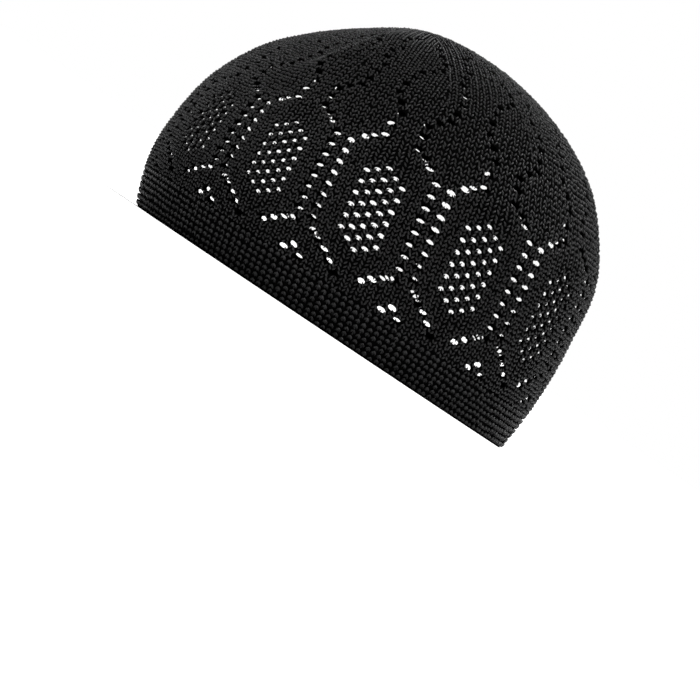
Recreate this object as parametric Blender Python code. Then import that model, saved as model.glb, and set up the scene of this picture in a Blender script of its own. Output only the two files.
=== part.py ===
"""Knitted kufi: a close fitting skull cap, knitted in the round in one black yarn.

The cap stands on its rim. X runs from the forehead (-X) to the nape (+X), Y across, Z up,
and the origin is on the table under the middle of the cap. Lengths in the tables below are
millimetres, and SCALE turns them into Blender's metres.

Two pieces: a ridged garter band round the rim, and the openwork crown above it. Both follow
one smooth form, which section() reads from the SECTIONS table.
"""
import math
from collections import namedtuple

import bmesh
import bpy
from mathutils import Vector

SCALE = 0.001

# The form of the cap.
# One row for each course of the knitting that sets the form. share runs along a wale, from
# 0 at the rim to 1 at the centre of the crown. side_lift raises the course at the ears above
# the straight line from front to back, and side_lean swings it towards the forehead there.
Section = namedtuple(
    "Section", "share front_x front_z back_x back_z half_width side_lift side_lean")
SECTIONS = (
    Section(0.00, -92.9, 0.0, 99.6, 0.0, 74.0, 0.0, -0.2),
    Section(0.10, -99.4, 17.5, 101.3, 18.5, 77.5, 0.3, -0.1),
    Section(0.28, -101.0, 43.5, 99.9, 54.0, 79.0, 3.7, 2.9),
    Section(0.46, -96.0, 69.5, 92.1, 89.0, 73.5, 8.2, 5.6),
    Section(0.60, -85.2, 90.0, 68.8, 117.3, 63.0, 10.6, 6.4),
    Section(0.74, -69.9, 106.3, 34.1, 133.8, 47.5, 9.0, 7.0),
    Section(0.88, -52.3, 120.2, -3.8, 138.0, 24.5, 4.9, 7.6),
    Section(1.00, -35.4, 130.3, -35.4, 130.3, 0.0, 0.0, 7.6),
)
# How far the wales are shifted round the form between the forehead, the ears and the nape.
EVEN_SPACING = 0.004

# The soft fold beside the top of the forehead, on the side that faces -Y. A low ridge runs up
# the crown, and the knitting drops behind it towards the forehead and slowly comes back.
FOLD_DEPTH = 2.0
FOLD_RIDGE = 3.4
FOLD_LOW_ANGLE = math.radians(55)
FOLD_TURN = math.radians(80)
FOLD_LOW_SHARE = 0.58
FOLD_RIDGE_REACH = math.radians(24)
FOLD_EDGE = math.radians(9)
FOLD_REACH = math.radians(34)
FOLD_FADE_IN = (0.50, 0.64)
FOLD_FADE_OUT = (0.72, 0.86)

# The knitting.
WALE_LENGTH = 178.0
BAND_SHARE = 0.10
JOINT_GAP = 0.3
CROWN_WALL = 2.0
BAND_RIDGES = 7
BAND_WALL = 3.4
BAND_GROOVE = 0.7
BAND_INNER_STEPS = 6
RIM_INSET = 0.6

# The lace: one lozenge of net in each of the twelve hexagons round the crown.
REPEATS = 12
SEGMENTS_PER_REPEAT = 6
SEGMENTS = REPEATS * SEGMENTS_PER_REPEAT
NET_ROW = 0.03
NET_FIRST_ROW = 0.205
NET_ROWS = 7
GAP_WIDTH = math.radians(2.7)
GAP_HEIGHT = 0.0155
CROWN_SHARES_BELOW_NET = (0.152,)
CROWN_SHARES_ABOVE_NET = (0.47, 0.53, 0.59, 0.65, 0.71, 0.77)
# Rings near the centre of the crown, with fewer and fewer corners.
CROWN_TOP_RINGS = ((0.83, SEGMENTS // 2), (0.89, SEGMENTS // 2), (0.95, SEGMENTS // 4))

# Step for reading slopes off the form, in shares and in radians.
SLOPE_STEP = 0.002

# The yarn: colour and roughness.
BAND_YARN = ((0.012, 0.012, 0.013), 0.78)
CROWN_YARN = ((0.014, 0.014, 0.015), 0.75)


def column(name):
    """One column of the SECTIONS table."""
    return [getattr(row, name) for row in SECTIONS]


def column_slopes(values):
    """Slope of a column at each row, for a smooth curve through its values."""
    shares = column("share")
    steps = [b - a for a, b in zip(shares, shares[1:])]
    rises = [(b - a) / step for a, b, step in zip(values, values[1:], steps)]
    slopes = [0.0] * len(values)
    for i in range(1, len(values) - 1):
        before, after = steps[i - 1], steps[i]
        slopes[i] = (rises[i - 1] * after + rises[i] * before) / (before + after)
    slopes[0] = (3 * rises[0] - slopes[1]) / 2
    slopes[-1] = (3 * rises[-1] - slopes[-2]) / 2
    return slopes


TABLE = {name: (column(name), column_slopes(column(name))) for name in Section._fields}


def smooth_value(name, share):
    """Value of a column at any share, on a cubic through the rows."""
    shares = TABLE["share"][0]
    values, slopes = TABLE[name]
    row = max(i for i in range(len(shares) - 1) if shares[i] <= share or i == 0)
    width = shares[row + 1] - shares[row]
    t = (share - shares[row]) / width
    return (
        (2 * t ** 3 - 3 * t ** 2 + 1) * values[row]
        + (t ** 3 - 2 * t ** 2 + t) * width * slopes[row]
        + (3 * t ** 2 - 2 * t ** 3) * values[row + 1]
        + (t ** 3 - t ** 2) * width * slopes[row + 1]
    )


def section(share):
    """The form's sizes at one course."""
    return Section(*(smooth_value(name, share) for name in Section._fields))


def ease(low, high, value):
    """0 below low, 1 above high, smooth between them."""
    t = min(max((value - low) / (high - low), 0.0), 1.0)
    return t * t * (3 - 2 * t)


def plain_point(angle, share):
    """Point on the form without its fold. Angle 0 is the forehead, 90 degrees faces -Y."""
    row = section(share)
    lean = math.radians(row.side_lean)
    turned = angle + EVEN_SPACING * math.sin(2 * angle) - lean * math.sin(angle) * abs(math.sin(angle))
    along, across = math.cos(turned), math.sin(turned)
    x = (row.front_x + row.back_x) / 2 + (row.front_x - row.back_x) / 2 * along
    z = (row.front_z + row.back_z) / 2 + (row.front_z - row.back_z) / 2 * along
    return Vector((x, -row.half_width * across, z + row.side_lift * across * across))


def plain_normal(angle, share):
    """Outward normal of the plain form."""
    inside = min(share, 1.0 - 2 * SLOPE_STEP)
    round_way = plain_point(angle + SLOPE_STEP, inside) - plain_point(angle - SLOPE_STEP, inside)
    up_way = plain_point(angle, inside + SLOPE_STEP) - plain_point(angle, inside - SLOPE_STEP)
    return round_way.cross(up_way).normalized()


def fold_dip(angle, share):
    """How far the fold presses the knitting in. Its ridge stands out, so that is negative."""
    edge = FOLD_LOW_ANGLE + FOLD_TURN * (share - FOLD_LOW_SHARE)
    ahead = edge - angle
    dropped = ease(0.0, FOLD_EDGE, ahead)
    ridge = ease(-FOLD_RIDGE_REACH, 0.0, ahead) * (1 - dropped)
    valley = dropped * (1 - ease(FOLD_EDGE, FOLD_REACH, ahead))
    along = ease(*FOLD_FADE_IN, share) * (1 - ease(*FOLD_FADE_OUT, share))
    return (FOLD_DEPTH * valley - FOLD_RIDGE * ridge) * along


def knit_point(angle, share, depth=0.0):
    """Point at some depth under the outer face of the knitting."""
    dip = fold_dip(angle, share) + depth
    return plain_point(angle, share) - plain_normal(angle, share) * dip


def rim_point(angle, depth):
    """Point of the flat rim that the cap stands on."""
    inward = plain_normal(angle, SLOPE_STEP)
    inward.z = 0.0
    return plain_point(angle, 0.0) - inward.normalized() * depth


def crown_centre(depth):
    """Where the wales meet, at some depth."""
    top = CROWN_TOP_RINGS[-1][0]
    around = [plain_normal(ring_angle(i, SEGMENTS), top) for i in range(SEGMENTS)]
    up = sum(around, Vector()).normalized()
    return plain_point(0.0, 1.0) - up * depth


def ring_angle(index, count):
    """Angle of one corner of a ring. Hexagons are centred between two corners."""
    half_segment = math.pi / SEGMENTS
    return 2 * math.pi * index / count - half_segment


def add_ring(mesh, points):
    return [mesh.verts.new(point * SCALE) for point in points]


def knit_ring(mesh, share, depth, count=SEGMENTS):
    return add_ring(mesh, [knit_point(ring_angle(i, count), share, depth) for i in range(count)])


def rim_ring(mesh, depth):
    return add_ring(mesh, [rim_point(ring_angle(i, SEGMENTS), depth) for i in range(SEGMENTS)])


def join_rings(mesh, lower, upper):
    """Faces between two rings. The upper ring may have half as many corners."""
    count = len(lower)
    ratio = count // len(upper)
    for i in range(0, count, ratio):
        here, after = upper[i // ratio], upper[(i // ratio + 1) % len(upper)]
        if ratio == 1:
            mesh.faces.new((lower[i], lower[(i + 1) % count], after, here))
        else:
            middle = lower[i + 1]
            mesh.faces.new((lower[i], middle, here))
            mesh.faces.new((middle, after, here))
            mesh.faces.new((middle, lower[(i + 2) % count], after))


def is_net_gap(column_index, row_index):
    """True for the cells of the grid that the lozenge of net cuts through."""
    from_centre = min(column_index % SEGMENTS_PER_REPEAT,
                      SEGMENTS_PER_REPEAT - column_index % SEGMENTS_PER_REPEAT)
    if from_centre == 0:
        return row_index % 2 == 0
    return from_centre == 1 and row_index % 2 == 1


def gap_corners(mesh, column_index, low_share, depth):
    """Four corners of one gap of the net."""
    angle = ring_angle(column_index + 0.5, SEGMENTS)
    share = low_share + NET_ROW / 2
    half_width, half_height = GAP_WIDTH / 2, GAP_HEIGHT / 2
    corners = ((-half_width, -half_height), (half_width, -half_height),
               (half_width, half_height), (-half_width, half_height))
    return add_ring(mesh, [knit_point(angle + a, share + s, depth) for a, s in corners])


def join_net_rings(mesh, outer, inner, low_share, row_index):
    """A row of the crown's two faces, with the gaps of the net cut between them."""
    (outer_low, outer_high), (inner_low, inner_high) = outer, inner
    for i in range(SEGMENTS):
        after = (i + 1) % SEGMENTS
        outer_cell = (outer_low[i], outer_low[after], outer_high[after], outer_high[i])
        inner_cell = (inner_low[i], inner_low[after], inner_high[after], inner_high[i])
        if not is_net_gap(i, row_index):
            mesh.faces.new(outer_cell)
            mesh.faces.new(inner_cell)
            continue
        outer_gap = gap_corners(mesh, i, low_share, 0.0)
        inner_gap = gap_corners(mesh, i, low_share, CROWN_WALL)
        for a in range(4):
            b = (a + 1) % 4
            mesh.faces.new((outer_cell[a], outer_cell[b], outer_gap[b], outer_gap[a]))
            mesh.faces.new((inner_cell[a], inner_cell[b], inner_gap[b], inner_gap[a]))
            mesh.faces.new((outer_gap[a], outer_gap[b], inner_gap[b], inner_gap[a]))


def build_crown(mesh):
    """Openwork crown: two faces a wall apart, joined at the edge and round each gap."""
    net_shares = [NET_FIRST_ROW + NET_ROW * i for i in range(NET_ROWS + 1)]
    edge_share = BAND_SHARE + JOINT_GAP / 2 / WALE_LENGTH
    shares = [edge_share, *CROWN_SHARES_BELOW_NET, *net_shares, *CROWN_SHARES_ABOVE_NET]
    faces = []
    for depth in (0.0, CROWN_WALL):
        rings = [knit_ring(mesh, share, depth) for share in shares]
        rings += [knit_ring(mesh, share, depth, count) for share, count in CROWN_TOP_RINGS]
        faces.append(rings)
    outer, inner = faces
    join_rings(mesh, inner[0], outer[0])
    first_net_ring = 1 + len(CROWN_SHARES_BELOW_NET)
    for i in range(len(outer) - 1):
        row_index = i - first_net_ring
        if 0 <= row_index < NET_ROWS:
            pairs = (outer[i], outer[i + 1]), (inner[i], inner[i + 1])
            join_net_rings(mesh, *pairs, shares[i], row_index)
        else:
            join_rings(mesh, outer[i], outer[i + 1])
            join_rings(mesh, inner[i], inner[i + 1])
    for rings, depth in ((outer, 0.0), (inner, CROWN_WALL)):
        last = rings[-1]
        centre = mesh.verts.new(crown_centre(depth) * SCALE)
        for i, corner in enumerate(last):
            mesh.faces.new((corner, last[(i + 1) % len(last)], centre))


def build_band(mesh):
    """Garter band: ridges on the outer face, a flat rim below and a plain inner face."""
    top_share = BAND_SHARE - JOINT_GAP / 2 / WALE_LENGTH
    rings = [rim_ring(mesh, RIM_INSET)]
    for step in range(1, 2 * BAND_RIDGES + 1):
        depth = BAND_GROOVE if step % 2 == 0 else 0.0
        rings.append(knit_ring(mesh, top_share * step / (2 * BAND_RIDGES), depth))
    for step in range(BAND_INNER_STEPS):
        share = top_share * (1 - step / BAND_INNER_STEPS)
        rings.append(knit_ring(mesh, share, BAND_WALL))
    rings.append(rim_ring(mesh, BAND_WALL))
    for lower, upper in zip(rings, rings[1:] + rings[:1]):
        join_rings(mesh, lower, upper)


def yarn_material(name, colour, roughness):
    """Matt dyed yarn."""
    material = bpy.data.materials.new(name)
    material.use_nodes = True
    shader = material.node_tree.nodes["Principled BSDF"]
    shader.inputs["Base Color"].default_value = (*colour, 1.0)
    shader.inputs["Roughness"].default_value = roughness
    shader.inputs["Metallic"].default_value = 0.0
    material.diffuse_color = (*colour, 1.0)
    return material


def add_piece(name, build, material):
    """One named object from a function that fills its mesh."""
    mesh = bmesh.new()
    build(mesh)
    bmesh.ops.recalc_face_normals(mesh, faces=mesh.faces)
    data = bpy.data.meshes.new(name)
    mesh.to_mesh(data)
    mesh.free()
    data.materials.append(material)
    piece = bpy.data.objects.new(name, data)
    bpy.context.scene.collection.objects.link(piece)
    return piece


def clear_scene():
    for item in list(bpy.data.objects):
        bpy.data.objects.remove(item, do_unlink=True)


def main():
    clear_scene()
    add_piece("band", build_band, yarn_material("band_yarn", *BAND_YARN))
    add_piece("crown", build_crown, yarn_material("crown_yarn", *CROWN_YARN))


main()
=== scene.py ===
"""Looks of the knitted kufi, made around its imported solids.

The form functions repeat the named sizes of the part's source: share runs along a wale from
0 at the rim to 1 at the centre of the crown, and a row here is a hundredth of that. Angle 0 is
the forehead and 90 degrees faces the camera. Lengths are millimetres until SCALE.
"""
import math
from collections import namedtuple

import bpy
import numpy as np
from mathutils import Matrix, Vector
from mathutils.geometry import delaunay_2d_cdt

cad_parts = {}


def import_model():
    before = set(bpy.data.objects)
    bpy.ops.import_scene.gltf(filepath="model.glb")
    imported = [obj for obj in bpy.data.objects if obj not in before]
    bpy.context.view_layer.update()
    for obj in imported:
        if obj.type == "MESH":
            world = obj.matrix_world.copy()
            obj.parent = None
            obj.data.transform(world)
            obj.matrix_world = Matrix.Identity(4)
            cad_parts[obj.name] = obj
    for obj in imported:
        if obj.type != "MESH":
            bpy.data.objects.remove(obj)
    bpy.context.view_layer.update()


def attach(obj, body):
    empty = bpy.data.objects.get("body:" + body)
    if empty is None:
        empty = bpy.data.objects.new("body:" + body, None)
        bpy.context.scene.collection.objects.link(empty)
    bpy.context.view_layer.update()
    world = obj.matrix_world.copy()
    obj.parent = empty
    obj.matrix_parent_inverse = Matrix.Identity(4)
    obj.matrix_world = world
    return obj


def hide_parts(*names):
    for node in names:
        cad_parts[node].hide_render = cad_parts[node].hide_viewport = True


SCALE = 0.001
SEED = 5

# The form of the cap, as in the part's source.
Section = namedtuple(
    "Section", "share front_x front_z back_x back_z half_width side_lift side_lean")
SECTIONS = (
    Section(0.00, -92.9, 0.0, 99.6, 0.0, 74.0, 0.0, -0.2),
    Section(0.10, -99.4, 17.5, 101.3, 18.5, 77.5, 0.3, -0.1),
    Section(0.28, -101.0, 43.5, 99.9, 54.0, 79.0, 3.7, 2.9),
    Section(0.46, -96.0, 69.5, 92.1, 89.0, 73.5, 8.2, 5.6),
    Section(0.60, -85.2, 90.0, 68.8, 117.3, 63.0, 10.6, 6.4),
    Section(0.74, -69.9, 106.3, 34.1, 133.8, 47.5, 9.0, 7.0),
    Section(0.88, -52.3, 120.2, -3.8, 138.0, 24.5, 4.9, 7.6),
    Section(1.00, -35.4, 130.3, -35.4, 130.3, 0.0, 0.0, 7.6),
)
EVEN_SPACING = 0.004
FOLD_DEPTH = 2.0
FOLD_RIDGE = 3.4
FOLD_LOW_ANGLE = math.radians(55)
FOLD_TURN = math.radians(80)
FOLD_LOW_SHARE = 0.58
FOLD_RIDGE_REACH = math.radians(24)
FOLD_EDGE = math.radians(9)
FOLD_REACH = math.radians(34)
FOLD_FADE_IN = (0.50, 0.64)
FOLD_FADE_OUT = (0.72, 0.86)
SLOPE_STEP = 0.002

# The knitting: one repeat of the lace is 30 degrees and 14 wales wide.
REPEATS = 12
REPEAT = 360 / REPEATS
WALES = 14
ROW_MM = 1.78
BAND_ROWS = 10
LAST_ROW = 98
CENTRE_ROW = 100.0
DECREASE_FROM = 52
SECTOR_EDGE = 4 * REPEAT / WALES

# The lace of one repeat, in degrees from the centre of its hexagon, and rows from the rim.
Column = namedtuple("Column", "offset first_row pitch count")
COLUMNS = (
    Column(-5.2, 22.9, 2.9, 6),
    Column(-2.6, 21.3, 2.9, 7),
    Column(0.0, 19.8, 2.9, 8),
    Column(2.6, 21.3, 2.9, 7),
    Column(5.2, 22.9, 2.9, 6),
    Column(12.6, 19.1, 2.88, 9),
    Column(-13.0, 21.2, 2.95, 8),
)
# Columns with an offset under this are the net, and the others are lines.
NET_EDGE = 6.0
FOOT = ((12.6, 11.9), (14.8, 13.3), (17.4, 11.4))
LOWER_LEFT = ((-11.3, 18.7), (-9.4, 17.4), (-7.2, 16.1), (-5.1, 14.5), (-2.6, 12.8))
LOWER_RIGHT = ((9.9, 18.2), (7.1, 16.5), (4.4, 14.8))
LEFT_LINE = (
    (-9.9, 44.1), (-7.5, 45.1), (-4.6, 46.4), (-4.4, 49.3), (-3.1, 52.3), (-4.5, 54.6),
    (-6.3, 56.8), (-5.5, 59.4), (-3.8, 62.0), (-1.2, 64.5), (2.6, 66.0), (6.4, 67.6),
    (8.0, 70.4), (6.6, 73.2), (6.4, 76.2), (9.5, 78.8), (14.0, 81.0), (18.0, 83.8))
RIGHT_LINE = (
    (9.6, 44.5), (7.8, 45.9), (5.2, 47.1), (5.2, 49.9), (5.4, 52.2), (8.4, 53.9),
    (11.4, 55.2), (12.6, 57.3), (13.8, 59.8), (15.0, 62.7), (14.2, 65.5), (15.6, 68.3),
    (18.6, 70.8), (18.6, 73.7), (21.0, 76.5), (25.5, 78.6), (30.0, 81.2), (33.0, 84.0))

# Half length and half height of a hole in the sheet behind the stitches.
NET_HOLE = (1.62, 0.9)
LINE_HOLE = (2.2, 1.25)
HOLE_CORNERS = 10
# Size of the holes outside the columns, at rows from the rim.
SHRINK_ROWS = (46, 60, 84)
SHRINK_SIZES = (1.0, 0.76, 0.56)

# How stitches make way for a hole: how far it reaches in rows and in millimetres, the room that
# it gets beyond its size, and the distances, in hole sizes, for dropping and for moving aside.
HOLE_REACH_ROWS = 3.0
HOLE_REACH = 6.0
STITCH_MARGIN = 0.15
DROPPED = 0.45
ASIDE_FADE = (1.6, 2.6)
ASIDE_POWER = 3.0
TINY = 1e-6

# Where the net spreads its wales: degrees from the hexagon's centre before and after, and the
# rows between which that comes and goes.
EVEN_WALES = (-15, -12.86, -4.29, 4.29, 12.86, 15)
SPREAD_WALES = (-15, -12.75, -5.3, 5.3, 12.75, 15)
SPREAD_IN = (13, 20)
SPREAD_OUT = (42, 49)


def column(name):
    """One column of the SECTIONS table."""
    return np.array([getattr(row, name) for row in SECTIONS], float)


def column_slopes(values):
    """Slope of a column at each row, for a smooth curve through its values."""
    steps = np.diff(column("share"))
    rises = np.diff(values) / steps
    slopes = np.zeros(len(values))
    slopes[1:-1] = (rises[:-1] * steps[1:] + rises[1:] * steps[:-1]) / (steps[1:] + steps[:-1])
    slopes[0] = (3 * rises[0] - slopes[1]) / 2
    slopes[-1] = (3 * rises[-1] - slopes[-2]) / 2
    return slopes


TABLE = {name: (column(name), column_slopes(column(name))) for name in Section._fields}


def section(share):
    """The form's sizes at each share of an array."""
    shares = TABLE["share"][0]
    row = np.clip(np.searchsorted(shares, share, side="right") - 1, 0, len(shares) - 2)
    width = shares[row + 1] - shares[row]
    t = (share - shares[row]) / width
    sizes = []
    for name in Section._fields:
        values, slopes = TABLE[name]
        sizes.append(
            (2 * t ** 3 - 3 * t ** 2 + 1) * values[row]
            + (t ** 3 - 2 * t ** 2 + t) * width * slopes[row]
            + (3 * t ** 2 - 2 * t ** 3) * values[row + 1]
            + (t ** 3 - t ** 2) * width * slopes[row + 1])
    return Section(*sizes)


def ease(low, high, value):
    """0 below low, 1 above high, smooth between them."""
    t = np.clip((value - low) / (high - low), 0.0, 1.0)
    return t * t * (3 - 2 * t)


def plain_point(angle, share):
    """Points on the form without its fold."""
    row = section(share)
    lean = np.radians(row.side_lean)
    sine = np.sin(angle)
    turned = angle + EVEN_SPACING * np.sin(2 * angle) - lean * sine * np.abs(sine)
    along, across = np.cos(turned), np.sin(turned)
    x = (row.front_x + row.back_x) / 2 + (row.front_x - row.back_x) / 2 * along
    z = (row.front_z + row.back_z) / 2 + (row.front_z - row.back_z) / 2 * along
    return np.stack((x, -row.half_width * across, z + row.side_lift * across ** 2), -1)


def unit(vectors):
    """The same directions with a length of one."""
    return vectors / np.maximum(np.linalg.norm(vectors, axis=-1, keepdims=True), 1e-9)


def plain_normal(angle, share):
    """Outward normals of the plain form."""
    inside = np.minimum(share, 1.0 - 2 * SLOPE_STEP)
    round_way = plain_point(angle + SLOPE_STEP, inside) - plain_point(angle - SLOPE_STEP, inside)
    up_way = plain_point(angle, inside + SLOPE_STEP) - plain_point(angle, inside - SLOPE_STEP)
    return unit(np.cross(round_way, up_way))


def fold_dip(angle, share):
    """How far the fold presses the knitting in. Its ridge stands out, so that is negative."""
    turned = np.mod(angle + math.pi, 2 * math.pi) - math.pi
    edge = FOLD_LOW_ANGLE + FOLD_TURN * (share - FOLD_LOW_SHARE)
    ahead = edge - turned
    dropped = ease(0.0, FOLD_EDGE, ahead)
    ridge = ease(-FOLD_RIDGE_REACH, 0.0, ahead) * (1 - dropped)
    valley = dropped * (1 - ease(FOLD_EDGE, FOLD_REACH, ahead))
    along = ease(*FOLD_FADE_IN, share) * (1 - ease(*FOLD_FADE_OUT, share))
    return (FOLD_DEPTH * valley - FOLD_RIDGE * ridge) * along


def knit_points(degrees, rows, depth):
    """Points at some depth under the outer face, and the outward normals there."""
    angle, share = np.radians(degrees), rows / 100
    normal = plain_normal(angle, share)
    dip = fold_dip(angle, share) + depth
    return plain_point(angle, share) - normal * dip[..., None], normal


def mm_per_degree(rows):
    """Mean length of one degree along a course."""
    row = section(np.asarray(rows, float) / 100)
    length = np.hypot(row.front_x - row.back_x, row.front_z - row.back_z) / 2
    return np.radians((length + row.half_width) / 2)


def degrees_apart(first, second):
    """How far first lies past second, from -180 to 180."""
    return np.mod(first - second + 180, 360) - 180


def lace_holes():
    """All the lace holes: degrees, row, half length and half height."""
    one = []
    for c in COLUMNS:
        half = NET_HOLE if abs(c.offset) < NET_EDGE else LINE_HOLE
        one += [(c.offset, c.first_row + c.pitch * i, *half) for i in range(c.count)]
    for offset, row in (*FOOT, *LOWER_LEFT, *LOWER_RIGHT, *LEFT_LINE, *RIGHT_LINE):
        size = float(np.interp(row, SHRINK_ROWS, SHRINK_SIZES))
        one.append((offset, row, LINE_HOLE[0] * size, LINE_HOLE[1] * size))
    holes = np.repeat(np.array(one)[None], REPEATS, 0)
    turns = np.arange(REPEATS) * REPEAT
    holes[:, :, 0] = np.mod(holes[:, :, 0] + turns[:, None], 360)
    return holes.reshape(-1, 4)


def open_lace(degrees, rows, holes):
    """How stitches move aside, so that the holes open between them, and which ones stay."""
    at = np.stack((degrees, rows), 1)
    kept = np.full(len(at), True)
    order = np.argsort(at[:, 1])
    sorted_rows = at[order, 1]
    shift = np.zeros_like(at)
    for hole in holes:
        reach = (hole[1] - HOLE_REACH_ROWS, hole[1] + HOLE_REACH_ROWS)
        low, high = np.searchsorted(sorted_rows, reach)
        near = order[low:high]
        along = degrees_apart(at[near, 0], hole[0])
        size = mm_per_degree(hole[1])
        close = np.abs(along) * size < HOLE_REACH
        near, along = near[close], along[close] * size
        up = (at[near, 1] - hole[1]) * ROW_MM
        half = hole[2:] + STITCH_MARGIN
        ratio = np.sqrt((along / half[0]) ** 2 + (up / half[1]) ** 2) + TINY
        kept[near[ratio < DROPPED]] = False
        grown = (ratio ** ASIDE_POWER + 1) ** (1 / ASIDE_POWER)
        more = (grown / ratio - 1) * (1 - ease(*ASIDE_FADE, ratio))
        shift[near, 0] += along * more / size
        shift[near, 1] += up * more / ROW_MM
    return shift, kept


def wales_left(rows):
    """Wales in a repeat at each row, as stitches are decreased towards the centre."""
    full = mm_per_degree(DECREASE_FROM)
    return np.minimum(WALES * mm_per_degree(rows) / full, WALES)


def wale_degrees(repeat, wale, rows):
    """Degrees of a wale of a repeat. The net spreads the wales that it holds, and the decreases
    draw them together, so that they lean past the next repeat."""
    narrowed = SECTOR_EDGE + wale * REPEAT / wales_left(rows)
    centred = np.mod(narrowed + REPEAT / 2, REPEAT) - REPEAT / 2
    spread = np.interp(centred, EVEN_WALES, SPREAD_WALES)
    share = ease(*SPREAD_IN, rows) * (1 - ease(*SPREAD_OUT, rows))
    return repeat * REPEAT + narrowed + (spread - centred) * share


# A strand of a stitch: how far along its wale's half, rows up, depth and thickness.
Strand = namedtuple("Strand", "aside up depth radius")
LEG = (
    Strand(0.05, -0.36, 1.35, 0.0),
    Strand(0.13, -0.06, 0.88, 0.36),
    Strand(0.25, 0.25, 0.54, 0.46),
    Strand(0.37, 0.56, 0.88, 0.36),
    Strand(0.45, 0.86, 1.35, 0.0),
)
LEG_SIDES = 5
LEG_MIDDLE = 2
# Width of a stitch in millimetres whose yarn has the thickness above, and the limits to either
# side for narrower and wider ones.
FULL_WIDTH = 3.45
SIZE_LIMITS = (0.6, 1.1)
# How uneven the knitting is: each place, each whole wale, and the thickness of the yarn.
LOOSE = 0.10
WALE_DRIFT = 0.12
LEG_THICKNESS = (0.90, 1.06)
# The rows of the stitches: the first above the band, and the lowest and highest that any reaches.
FIRST_STITCH = 0.3
STITCH_ROWS = (BAND_ROWS - 0.2, 99.5)
HALF_WALE = 0.5
FEWEST_WALES = 0.6
# Rows where one piece of stitches gives way to the next.
TIERS = (0, 24, 38, 54, 68, 100)


def stitch_places():
    """Repeat, wale and row of every stocking stitch."""
    places = []
    for row in np.arange(BAND_ROWS + FIRST_STITCH, LAST_ROW, 1.0):
        wales = np.arange(HALF_WALE, max(float(wales_left(row)), FEWEST_WALES), 1.0)
        for repeat in range(REPEATS):
            places.append(np.stack(np.broadcast_arrays(repeat, wales, row), 1))
    return np.concatenate(places)


def strand_faces(steps, sides):
    """Faces of one spindle and their yarn coordinates. Its two tips are its last corners."""
    quads, tris, quad_uv, tri_uv = [], [], [], []
    first_tip = (steps - 2) * sides
    for i in range(steps - 3):
        for j in range(sides):
            after = (j + 1) % sides
            quads.append((i * sides + j, i * sides + after,
                          (i + 1) * sides + after, (i + 1) * sides + j))
            quad_uv.append(((i + 1, j), (i + 1, j + 1), (i + 2, j + 1), (i + 2, j)))
    last = (steps - 3) * sides
    for j in range(sides):
        after = (j + 1) % sides
        tris.append((j, first_tip, after))
        tri_uv.append(((1, j), (0, j + 0.5), (1, j + 1)))
        tris.append((last + j, last + after, first_tip + 1))
        tri_uv.append(((steps - 2, j), (steps - 2, j + 1), (steps - 1, j + 0.5)))
    uv_scale = np.array((1 / (steps - 1), 1 / sides))
    uvs = [np.array(uv, float).reshape(-1, 2) * uv_scale for uv in (quad_uv, tri_uv)]
    return (np.array(quads), np.array(tris)), uvs


def strand_mesh(path, normal, radii, sides):
    """Spindles along many short paths: corners, faces and yarn coordinates."""
    count, steps = path.shape[:2]
    tangent = unit(np.gradient(path, axis=1))
    side = unit(np.cross(tangent, normal))
    up = np.cross(side, tangent)
    turn = np.arange(sides) / sides * 2 * math.pi
    ring = (side[:, 1:-1, None] * np.cos(turn)[None, None, :, None]
            + up[:, 1:-1, None] * np.sin(turn)[None, None, :, None])
    rings = path[:, 1:-1, None] + ring * radii[:, 1:-1, None, None]
    points = np.concatenate(
        (rings.reshape(count, -1, 3), path[:, :1], path[:, -1:]), 1)
    start = (np.arange(count) * points.shape[1])[:, None, None]
    one_faces, one_uvs = strand_faces(steps, sides)
    faces = [(face[None] + start).reshape(-1, face.shape[1]) for face in one_faces]
    uvs = [np.tile(uv, (count, 1)) for uv in one_uvs]
    return points.reshape(-1, 3), faces, uvs


def add_mesh(name, points, faces, material, uvs=None, smooth=True):
    """One object from numpy arrays of corners and faces."""
    data = bpy.data.meshes.new(name)
    loops = np.concatenate([f.ravel() for f in faces])
    sizes = np.concatenate([np.full(len(f), f.shape[1]) for f in faces])
    starts = np.concatenate(((0,), np.cumsum(sizes)[:-1]))
    data.vertices.add(len(points))
    data.vertices.foreach_set("co", (points * SCALE).astype(np.float32).ravel())
    data.loops.add(len(loops))
    data.loops.foreach_set("vertex_index", loops.astype(np.int32))
    data.polygons.add(len(sizes))
    data.polygons.foreach_set("loop_start", starts.astype(np.int32))
    data.polygons.foreach_set("loop_total", sizes.astype(np.int32))
    data.polygons.foreach_set("use_smooth", np.full(len(sizes), smooth))
    if uvs is not None:
        layer = data.uv_layers.new(name="yarn")
        layer.data.foreach_set("uv", np.concatenate(uvs).astype(np.float32).ravel())
    data.update(calc_edges=True)
    data.validate()
    data.materials.append(material)
    piece = bpy.data.objects.new(name, data)
    bpy.context.scene.collection.objects.link(piece)
    return piece


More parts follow.
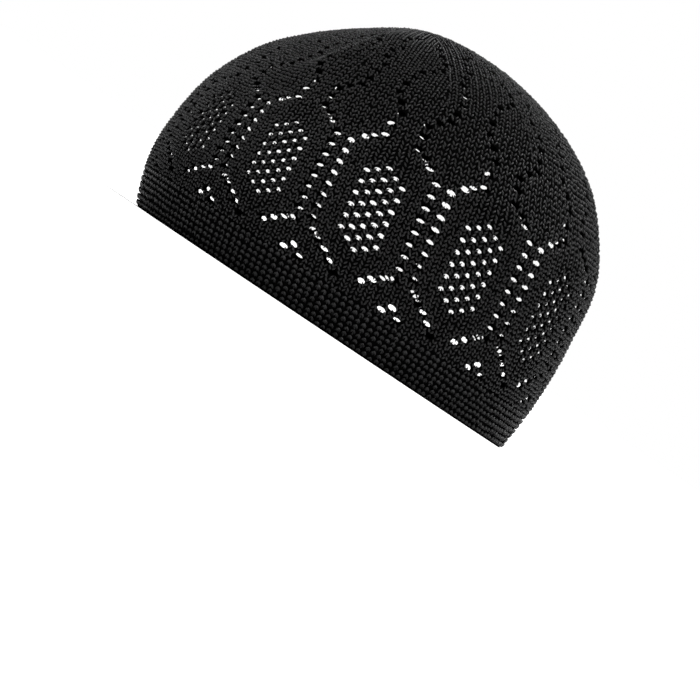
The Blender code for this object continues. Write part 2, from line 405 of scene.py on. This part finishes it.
def crown_stitches(holes, material):
    """The stocking stitches of the crown: two legs to each, in five pieces."""
    draw = np.random.default_rng(SEED)
    repeat, wale, row = (values[:, None] for values in stitch_places().T)
    count = (len(row), 1)
    drift = draw.normal(0, WALE_DRIFT, (REPEATS, WALES))
    row = row + drift[repeat.astype(int), wale.astype(int)]
    aside, up, deep, thick = np.array(LEG).T[:, None]
    width = REPEAT / wales_left(row) * mm_per_degree(row)
    size = np.clip(width / FULL_WIDTH, *SIZE_LIMITS)
    legs = []
    for hand in (-1, 1):
        rows = row + up + draw.normal(0, LOOSE, count)
        degrees = wale_degrees(repeat, wale + hand * aside, rows) + draw.normal(0, LOOSE, count)
        shift, kept = open_lace(degrees[:, LEG_MIDDLE], rows[:, LEG_MIDDLE], holes)
        degrees = degrees + shift[:, :1]
        rows = np.clip(rows + shift[:, 1:], *STITCH_ROWS)
        path, normal = knit_points(degrees, rows, deep + draw.normal(0, LOOSE, count))
        radii = thick * size * draw.uniform(*LEG_THICKNESS, count)
        legs.append([array[kept] for array in (path, normal, radii, row)])
    path, normal, radii, row = (np.concatenate(both) for both in zip(*legs))
    pieces = []
    for number, (low, high) in enumerate(zip(TIERS, TIERS[1:]), 1):
        chosen = ((row >= low) & (row < high)).ravel()
        points, faces, uvs = strand_mesh(path[chosen], normal[chosen], radii[chosen], LEG_SIDES)
        pieces.append(add_mesh(f"crown_stitches_{number}", points, faces, material, uvs))
    return pieces


# The last stitches are drawn together at the centre of the crown, with rows from the rim here.
CENTRE_COUNT = 12
CENTRE = (
    Strand(0.0, 96.4, 1.20, 0.0),
    Strand(0.0, 97.4, 0.62, 0.50),
    Strand(0.0, 98.5, 0.58, 0.56),
    Strand(0.0, 99.3, 0.75, 0.42),
    Strand(0.0, 99.9, 1.40, 0.0),
)


def crown_centre(material):
    """The stitches that close the crown."""
    _, rows, deep, thick = np.array(CENTRE).T[:, None]
    degrees = np.arange(CENTRE_COUNT)[:, None] * 360 / CENTRE_COUNT
    path, normal = knit_points(*np.broadcast_arrays(degrees, rows, deep))
    radii = np.broadcast_to(thick, path.shape[:2])
    points, faces, uvs = strand_mesh(path, normal, radii, LEG_SIDES)
    return add_mesh("crown_centre", points, faces, material, uvs)


# The sheet behind the stitches: depth of its two faces, its first and last rows of points, and
# how those are spaced and kept clear of the holes.
BACK_OUTER = 1.22
BACK_INNER = 1.7
BACK_RIM_ROW = BAND_ROWS + 0.1
BACK_FIRST_STEP = 1.4
BACK_STEP = 1.6
BACK_LAST_ROW = 98.5
BACK_TOP_ROW = 99.9
BACK_SPACING = 1.55
BACK_FEWEST = 12
BACK_CLEAR = 0.45
RIM_COUNT = WALES * REPEATS * 2
# The sheet is cut laid out flat, round a centre that lies this many rows from the rim.
FLAT_CENTRE = 110
MERGE_WITHIN = 1e-5


def hole_ring(hole):
    """Corners of one hole of the sheet, in degrees and rows."""
    turn = (np.arange(HOLE_CORNERS) + 0.5) / HOLE_CORNERS * 2 * math.pi
    half = hole[2:]
    return np.stack((hole[0] + half[0] * np.cos(turn) / mm_per_degree(hole[1]),
                     hole[1] + half[1] * np.sin(turn) / ROW_MM), 1)


def sheet_row(row, holes):
    """One row of points of the sheet, without those in a hole or near it."""
    share = min(1.0, mm_per_degree(row) / BACK_SPACING)
    count = max(int(round(WALES * REPEATS * share)), BACK_FEWEST)
    degrees = (np.arange(count) + 0.5 * (int(row) % 2)) * 360 / count
    ring = np.stack((degrees, np.full(count, row)), 1)
    gap_x = degrees_apart(ring[:, None, 0], holes[None, :, 0])
    gap_x = gap_x * mm_per_degree(holes[:, 1])[None]
    gap_y = (ring[:, None, 1] - holes[None, :, 1]) * ROW_MM
    half = holes[:, 2:] + BACK_CLEAR
    ratio = np.sqrt((gap_x / half[:, 0]) ** 2 + (gap_y / half[:, 1]) ** 2)
    return ring[ratio.min(1) > 1]


def sheet_places(holes):
    """All points of the sheet in degrees and rows, the edge of its rim, and its holes."""
    around = np.arange(RIM_COUNT)
    rim = np.stack((around * 360 / RIM_COUNT, np.full(RIM_COUNT, BACK_RIM_ROW)), 1)
    edges = [(i, (i + 1) % RIM_COUNT) for i in range(RIM_COUNT)]
    rings = [hole_ring(hole) for hole in holes]
    starts = range(RIM_COUNT, RIM_COUNT + len(holes) * HOLE_CORNERS, HOLE_CORNERS)
    cuts = [list(range(start, start + HOLE_CORNERS)) for start in starts]
    rows = np.arange(BACK_RIM_ROW + BACK_FIRST_STEP, BACK_LAST_ROW, BACK_STEP)
    fill = [sheet_row(row, holes) for row in rows]
    top = np.array([[0.0, CENTRE_ROW]])
    return np.concatenate([rim, *rings, *fill, top]), edges, cuts


def cut_sheet(holes):
    """Degrees and rows of the sheet's corners, and its triangles without those in a hole."""
    places, edges, cuts = sheet_places(holes)
    reach, angle = FLAT_CENTRE - places[:, 1], np.radians(places[:, 0])
    flat = np.stack((reach * np.cos(angle), reach * np.sin(angle)), -1)
    result = delaunay_2d_cdt([Vector(p) for p in flat], edges, cuts, 0, MERGE_WITHIN, True)
    points, _, triangles, origin, _, hole_of = result
    flat = np.array([tuple(p) for p in points])
    degrees = np.degrees(np.arctan2(flat[:, 1], flat[:, 0]))
    rows = FLAT_CENTRE - np.hypot(flat[:, 0], flat[:, 1])
    from_place = np.array([o[0] if o else -1 for o in origin])
    known = from_place >= 0
    degrees[known] = places[from_place[known], 0]
    rows[known] = places[from_place[known], 1]
    kept = np.array([t for t, h in zip(triangles, hole_of) if not h])
    return degrees, np.minimum(rows, BACK_TOP_ROW), kept


def open_edges(triangles):
    """Edges that only one triangle has, in a fixed order."""
    sides = np.concatenate([triangles[:, (0, 1)], triangles[:, (1, 2)], triangles[:, (2, 0)]])
    forward = {(a, b) for a, b in sides.tolist()}
    edges = np.array([(a, b) for a, b in forward if (b, a) not in forward])
    return edges[np.lexsort((edges[:, 1], edges[:, 0]))]


def crown_backing(holes, material):
    """The thin sheet behind the stitches, cut through at every hole of the lace."""
    degrees, rows, kept = cut_sheet(holes)
    outer, _ = knit_points(degrees, rows, np.full(len(rows), BACK_OUTER))
    inner, _ = knit_points(degrees, rows, np.full(len(rows), BACK_INNER))
    count = len(outer)
    first, second = open_edges(kept).T
    walls = np.stack((second, first, first + count, second + count), 1)
    points = np.concatenate((outer, inner))
    triangles = np.concatenate((kept, kept[:, ::-1] + count))
    used = np.unique(np.concatenate((triangles.ravel(), walls.ravel())))
    new = np.full(len(points), -1)
    new[used] = np.arange(len(used))
    return add_mesh("crown_backing", points[used], (new[walls], new[triangles]), material)


RIDGES = 7
RIDGE_ROWS = BAND_ROWS / RIDGES
BUMPS = 16 * REPEATS
BAND_WALL = 3.4
# A purl bump is an arch of yarn with a shorter strand inside it.
ARCH = (
    Strand(-0.34, -0.52, 1.35, 0.0),
    Strand(-0.32, -0.28, 0.76, 0.38),
    Strand(-0.22, 0.06, 0.52, 0.46),
    Strand(0.00, 0.27, 0.58, 0.48),
    Strand(0.22, 0.06, 0.52, 0.46),
    Strand(0.32, -0.28, 0.76, 0.38),
    Strand(0.34, -0.52, 1.35, 0.0),
)
TONGUE = (
    Strand(0.00, -0.52, 1.40, 0.0),
    Strand(0.00, -0.26, 0.86, 0.34),
    Strand(0.00, 0.02, 0.82, 0.36),
    Strand(0.00, 0.26, 1.30, 0.0),
)
PURL_SIDES = 6
PURL_THICKNESS = (0.9, 1.05)
PURL_LOWEST_ROW = 0.45
PURL_LOWEST_Z = 0.02
# The band behind its bumps: corners at the rim, as rows and depth, then the rolls and the inside.
RIM_CORNERS = ((0.0, 1.1), (0.15, 0.95))
ROLL_STEPS = 4
ROLL_GROOVE = 1.45
ROLL_HEIGHT = 0.55
BAND_TOP_GAP = 0.05
INNER_STEPS = 8


def purl_strands(strands, draw):
    """One strand of every purl bump of the band."""
    wale = np.tile(np.arange(BUMPS), RIDGES)[:, None]
    ridge = np.repeat(np.arange(RIDGES), BUMPS)[:, None]
    count = (len(wale), 1)
    aside, up, deep, thick = np.array(strands).T[:, None]
    degrees = (wale + 0.5 + aside) * 360 / BUMPS + draw.normal(0, LOOSE, count)
    rows = (ridge + 0.5 + up) * RIDGE_ROWS + draw.normal(0, LOOSE, count)
    rows = np.maximum(rows, PURL_LOWEST_ROW)
    path, normal = knit_points(degrees, rows, deep + draw.normal(0, LOOSE, count))
    return strand_mesh(path, normal, thick * draw.uniform(*PURL_THICKNESS, count), PURL_SIDES)


def band_bumps(material):
    """Garter stitch: a row of purl bumps on each ridge of the band."""
    draw = np.random.default_rng(SEED + 1)
    pieces = []
    for name, strands in (("band_arches", ARCH), ("band_tongues", TONGUE)):
        points, faces, uvs = purl_strands(strands, draw)
        points[:, 2] = np.maximum(points[:, 2], PURL_LOWEST_Z)
        pieces.append(add_mesh(name, points, faces, material, uvs))
    return pieces


def band_profile():
    """Corners of the band's section, as rows and depth, up its outside and down its inside."""
    profile = list(RIM_CORNERS)
    for ridge in range(RIDGES):
        for step in range(1, ROLL_STEPS + 1):
            share = step / ROLL_STEPS
            depth = ROLL_GROOVE - ROLL_HEIGHT * math.sin(math.pi * share)
            profile.append(((ridge + share) * RIDGE_ROWS, depth))
    top_row, top_depth = profile[-1]
    profile[-1] = (top_row - BAND_TOP_GAP, top_depth)
    for step in range(INNER_STEPS + 1):
        profile.append(((1 - step / INNER_STEPS) * (BAND_ROWS - BAND_TOP_GAP), BAND_WALL))
    return profile


def band_ring(degrees, row, depth):
    """One ring of the band. On row 0 it lies flat on the rim."""
    count = len(degrees)
    if row > 0.0:
        return knit_points(degrees, np.full(count, row), np.full(count, depth))[0]
    points, normal = knit_points(degrees, np.zeros(count), np.zeros(count))
    normal[:, 2] = 0
    points = points - unit(normal) * depth
    points[:, 2] = 0
    return points


def band_body(material):
    """The band behind its bumps: seven soft rolls, a flat rim and a plain inner face."""
    round_count = 2 * BUMPS
    here = np.arange(round_count)
    after = (here + 1) % round_count
    rings = [band_ring(here * 360 / round_count, *corner) for corner in band_profile()]
    faces = []
    for i in range(len(rings)):
        j = (i + 1) % len(rings)
        faces.append(np.stack((i * round_count + here, i * round_count + after,
                               j * round_count + after, j * round_count + here), 1))
    return add_mesh("band_body", np.concatenate(rings), (np.concatenate(faces),), material)


# Colour, roughness and gloss of the yarn, and of the knitting behind the stitches, which is the
# same yarn painted near black as shade, to darken the gaps between the stitches.
Yarn = namedtuple("Yarn", "dark light roughness gloss")
KNIT_YARN = Yarn((0.010, 0.010, 0.0103), (0.034, 0.034, 0.0346), 0.38, 0.26)
PAINTED_SHADE_YARN = Yarn((0.0004, 0.0004, 0.0004), (0.001, 0.001, 0.001), 0.9, 0.04)
# Patches of the two colours: their noise, and where on it each colour starts.
PATCH_SCALE, PATCH_DETAIL = 700.0, 3.0
PATCH_DARK, PATCH_LIGHT = 0.35, 0.68
# Bumps, with their heights in metres: the fuzz of the yarn, and its plies, with the times that
# they repeat round a strand and along it.
FUZZ_SCALE, FUZZ_DETAIL = 3500.0, 2.0
FUZZ_STRENGTH, FUZZ_HEIGHT = 0.25, 0.0002
PLIES_ROUND, PLIES_ALONG = 3.0, 4.0
PLY_STRENGTH, PLY_HEIGHT = 0.5, 0.00012
# Painted shade along each strand: colour and gloss are black up to the first of these places from
# either end, where the strand dips into the knitting, and full from the second on.
PAINTED_END_SHADE = (0.10, 0.42)


def node(tree, kind, **settings):
    """A new shader node with its settings and input values."""
    made = tree.nodes.new(kind)
    for name, value in settings.items():
        if name.startswith("in_"):
            made.inputs[name[3:].replace("_", " ")].default_value = value
        else:
            setattr(made, name, value)
    return made


def calculate(tree, kind, operation, *values):
    """The output of a math node. Each value is a number, or the output that gives it."""
    made = node(tree, kind, operation=operation)
    for socket, value in zip(made.inputs, values):
        if isinstance(value, bpy.types.NodeSocket):
            tree.links.new(value, socket)
        else:
            socket.default_value = value
    return made.outputs[0]


def ramp(tree, factor, interpolation, *stops):
    """Colours along a factor. Each stop is a position and a colour."""
    made = node(tree, "ShaderNodeValToRGB")
    made.color_ramp.interpolation = interpolation
    elements = made.color_ramp.elements
    for element, (position, colour) in zip(elements, (stops[0], stops[-1])):
        element.position = position
        element.color = (*colour, 1)
    for position, colour in stops[1:-1]:
        elements.new(position).color = (*colour, 1)
    tree.links.new(factor, made.inputs["Fac"])
    return made.outputs["Color"]


def ply_bump(tree, around, along, normal):
    """A bump of twisted plies that runs along the strand."""
    lengthwise = calculate(tree, "ShaderNodeMath", "MULTIPLY", along, PLIES_ALONG)
    turns = calculate(tree, "ShaderNodeMath", "MULTIPLY_ADD", around, PLIES_ROUND, lengthwise)
    angle = calculate(tree, "ShaderNodeMath", "MULTIPLY", turns, 2 * math.pi)
    wave = calculate(tree, "ShaderNodeMath", "SINE", angle)
    bump = node(tree, "ShaderNodeBump", in_Strength=PLY_STRENGTH, in_Distance=PLY_HEIGHT)
    tree.links.new(wave, bump.inputs["Height"])
    tree.links.new(normal, bump.inputs["Normal"])
    return bump.outputs["Normal"]


def yarn_material(name, yarn, strands):
    """Matt yarn. With strands, it has plies, and each strand's ends are painted dark as shade, in
    colour and gloss, so that its middle stands out.
    """
    material = bpy.data.materials.new(name)
    material.use_nodes = True
    tree = material.node_tree
    link = tree.links.new
    shader = tree.nodes["Principled BSDF"]
    shader.inputs["Roughness"].default_value = yarn.roughness
    shader.inputs["Specular IOR Level"].default_value = yarn.gloss
    place = node(tree, "ShaderNodeTexCoord")
    patches = node(tree, "ShaderNodeTexNoise", in_Scale=PATCH_SCALE, in_Detail=PATCH_DETAIL)
    link(place.outputs["Object"], patches.inputs["Vector"])
    colour = ramp(tree, patches.outputs["Fac"], "LINEAR",
                  (PATCH_DARK, yarn.dark), (PATCH_LIGHT, yarn.light))
    fuzz = node(tree, "ShaderNodeTexNoise", in_Scale=FUZZ_SCALE, in_Detail=FUZZ_DETAIL)
    link(place.outputs["Object"], fuzz.inputs["Vector"])
    bump = node(tree, "ShaderNodeBump", in_Strength=FUZZ_STRENGTH, in_Distance=FUZZ_HEIGHT)
    link(fuzz.outputs["Fac"], bump.inputs["Height"])
    normal = bump.outputs["Normal"]
    if strands:
        split = node(tree, "ShaderNodeSeparateXYZ")
        link(place.outputs["UV"], split.inputs["Vector"])
        along, around = split.outputs["X"], split.outputs["Y"]
        normal = ply_bump(tree, around, along, normal)
        black, white = (0, 0, 0), (1, 1, 1)
        # Painted shade: colour and gloss fall to black towards both ends of each strand.
        painted_end_shade = ramp(tree, along, "EASE", (PAINTED_END_SHADE[0], black), (PAINTED_END_SHADE[1], white),
                     (1 - PAINTED_END_SHADE[1], white), (1 - PAINTED_END_SHADE[0], black))
        shaded_gloss = calculate(tree, "ShaderNodeMath", "MULTIPLY", painted_end_shade, yarn.gloss)
        link(shaded_gloss, shader.inputs["Specular IOR Level"])
        colour = calculate(tree, "ShaderNodeVectorMath", "MULTIPLY", colour, painted_end_shade)
    link(colour, shader.inputs["Base Color"])
    link(normal, shader.inputs["Normal"])
    return material


def plain_material(name, colour, roughness):
    """A material of one colour."""
    material = bpy.data.materials.new(name)
    material.use_nodes = True
    shader = material.node_tree.nodes["Principled BSDF"]
    shader.inputs["Base Color"].default_value = (*colour, 1)
    shader.inputs["Roughness"].default_value = roughness
    return material


FLOOR_HALF = 20000.0
FLOOR_COLOUR = (0.86, 0.86, 0.86)
FLOOR_ROUGHNESS = 0.9
WORLD_WHITE = (1, 1, 1, 1)
# The backdrop as the camera sees it, and the light that it gives.
BACKDROP_SEEN = 1.0
BACKDROP_FILL = 0.02
Sun = namedtuple("Sun", "name towards power spread")
SUNS = (
    Sun("top_front", (-0.35, 0.1, 0.95), 2.3, 10.0),
    Sun("top_back", (0.3, -0.3, 0.9), 2.0, 10.0),
    Sun("far_back", (0.35, 0.35, 0.87), 2.2, 10.0),
    Sun("low", (-0.1, -1.0, 0.35), 0.38, 12.0),
)
# The camera, in metres: a long lens far away, so that the holes of both sides line up.
CAMERA = (0.0, -11.0, 0.05)
TARGET = (0.0206, 0.0, -0.0007)
ROLL_RIGHT = Vector((0.832, 0.0, 0.555))
FRAME_WIDTH = 0.3064
SENSOR = 36.0
CLIP = (0.01, 50.0)


def add_floor():
    """Plain pale floor that the cap stands on."""
    half = FLOOR_HALF
    points = np.array(((-half, -half, 0), (half, -half, 0), (half, half, 0), (-half, half, 0)))
    paint = plain_material("floor_paint", FLOOR_COLOUR, FLOOR_ROUGHNESS)
    floor = add_mesh("floor", points, (np.array([[0, 1, 2, 3]]),), paint, smooth=False)


def add_world():
    """White studio: the backdrop that is seen, and the dimmer fill light that it gives."""
    world = bpy.data.worlds.new("studio")
    world.use_nodes = True
    tree = world.node_tree
    back = tree.nodes["Background"]
    back.inputs["Color"].default_value = WORLD_WHITE
    back.inputs["Strength"].default_value = BACKDROP_FILL
    white = node(tree, "ShaderNodeBackground", in_Color=WORLD_WHITE, in_Strength=BACKDROP_SEEN)
    path = node(tree, "ShaderNodeLightPath")
    mix = node(tree, "ShaderNodeMixShader")
    tree.links.new(path.outputs["Is Camera Ray"], mix.inputs["Fac"])
    tree.links.new(back.outputs["Background"], mix.inputs[1])
    tree.links.new(white.outputs["Background"], mix.inputs[2])
    tree.links.new(mix.outputs["Shader"], tree.nodes["World Output"].inputs["Surface"])
    bpy.context.scene.world = world


def add_sun(sun):
    """A broad soft light from far away, so that the floor is even out to the horizon."""
    lamp = bpy.data.lights.new(sun.name, "SUN")
    lamp.energy = sun.power
    lamp.angle = math.radians(sun.spread)
    light = bpy.data.objects.new(sun.name, lamp)
    light.rotation_euler = Vector(sun.towards).to_track_quat("Z", "Y").to_euler()
    bpy.context.scene.collection.objects.link(light)


def add_camera():
    """Level with the rim, and rolled as the cap is turned in the photo."""
    data = bpy.data.cameras.new("camera")
    camera = bpy.data.objects.new("camera", data)
    view = Vector(TARGET) - Vector(CAMERA)
    forward = view.normalized()
    right = (ROLL_RIGHT - forward * ROLL_RIGHT.dot(forward)).normalized()
    up = right.cross(forward)
    turn = Matrix((right, up, -forward)).transposed()
    camera.matrix_world = Matrix.Translation(Vector(CAMERA)) @ turn.to_4x4()
    data.sensor_width = SENSOR
    data.lens = SENSOR * view.length / FRAME_WIDTH
    data.clip_start, data.clip_end = CLIP
    bpy.context.scene.collection.objects.link(camera)
    bpy.context.scene.camera = camera


def main():
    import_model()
    holes = lace_holes()
    yarn = yarn_material("crown_yarn_knit", KNIT_YARN, True)
    band = yarn_material("band_yarn_knit", KNIT_YARN, True)
    # The backing sheet gets the yarn painted near black as shade.
    back = yarn_material("crown_backing_painted_shade", PAINTED_SHADE_YARN, False)
    crown = [crown_backing(holes, back), *crown_stitches(holes, yarn), crown_centre(yarn)]
    # The band body behind its bumps also gets the yarn painted near black as shade.
    band_pieces = [band_body(back), *band_bumps(band)]
    for piece in crown:
        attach(piece, "root")
    for piece in band_pieces:
        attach(piece, "root")
    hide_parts("crown")
    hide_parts("band")
    add_floor()
    add_world()
    for sun in SUNS:
        add_sun(sun)
    add_camera()
    bpy.context.scene.view_settings.view_transform = "Standard"


main()
